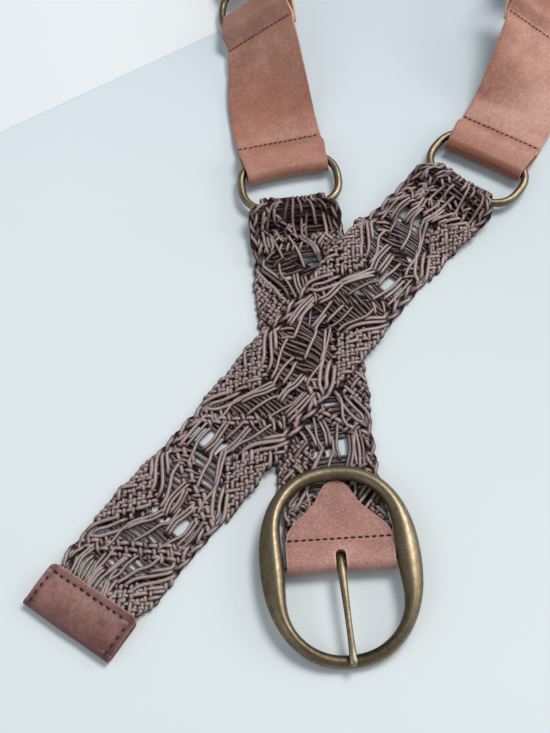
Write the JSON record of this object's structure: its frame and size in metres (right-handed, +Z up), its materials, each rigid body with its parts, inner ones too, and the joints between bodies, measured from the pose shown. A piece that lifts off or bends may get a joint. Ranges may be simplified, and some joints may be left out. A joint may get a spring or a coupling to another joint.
{
  "type": "wide braided belt",
  "caption": "Wide openwork braided belt with plain leather panels joined by oval rings, an oval buckle with a prong and a folded leather tip, lying unfastened.",
  "frame": {"origin": "middle of the belt's outline on the surface it lies on", "axes": "+Y away from the buckle and tip towards the back piece (the longest way), +X to the right seen from the tip, +Z up off the surface"},
  "size_m": [0.3182, 0.4861, 0.0514],
  "materials": {
    "braided_cord": "matte dusty brown leather cord",
    "tan_leather": "smooth tan leather with a soft sheen",
    "tip_leather": "smooth rose brown leather",
    "tab_leather": "matte suede-like leather",
    "antique_brass": "antique, dark in the hollows, worn bright on the edges"
  },
  "bodies": {
    "belt": {"braid_long": "braided_cord", "braid_short": "braided_cord", "braid_back": "braided_cord", "tip_cap": "tip_leather", "buckle_tab": "tab_leather", "panel_long": "tan_leather", "panel_short": "tan_leather", "ring_front_long": "antique_brass", "ring_front_short": "antique_brass", "ring_back_long": "antique_brass", "ring_back_short": "antique_brass"},
    "buckle": {"buckle_frame": "antique_brass"},
    "prong": {"prong": "antique_brass"}
  },
  "joints": [
    {"name": "buckle_swivel", "type": "hinge", "parent": "belt", "child": "buckle", "pos_m": [-0.01203, -0.19514, 0.00555], "axis": [0.9984, 0.0558, 0], "range_deg": [0, 75]},
    {"name": "prong_hinge", "type": "hinge", "parent": "buckle", "child": "prong", "pos_m": [-0.01203, -0.19514, 0.00555], "axis": [-0.9984, -0.0558, 0], "range_deg": [0, 85]}
  ]
}
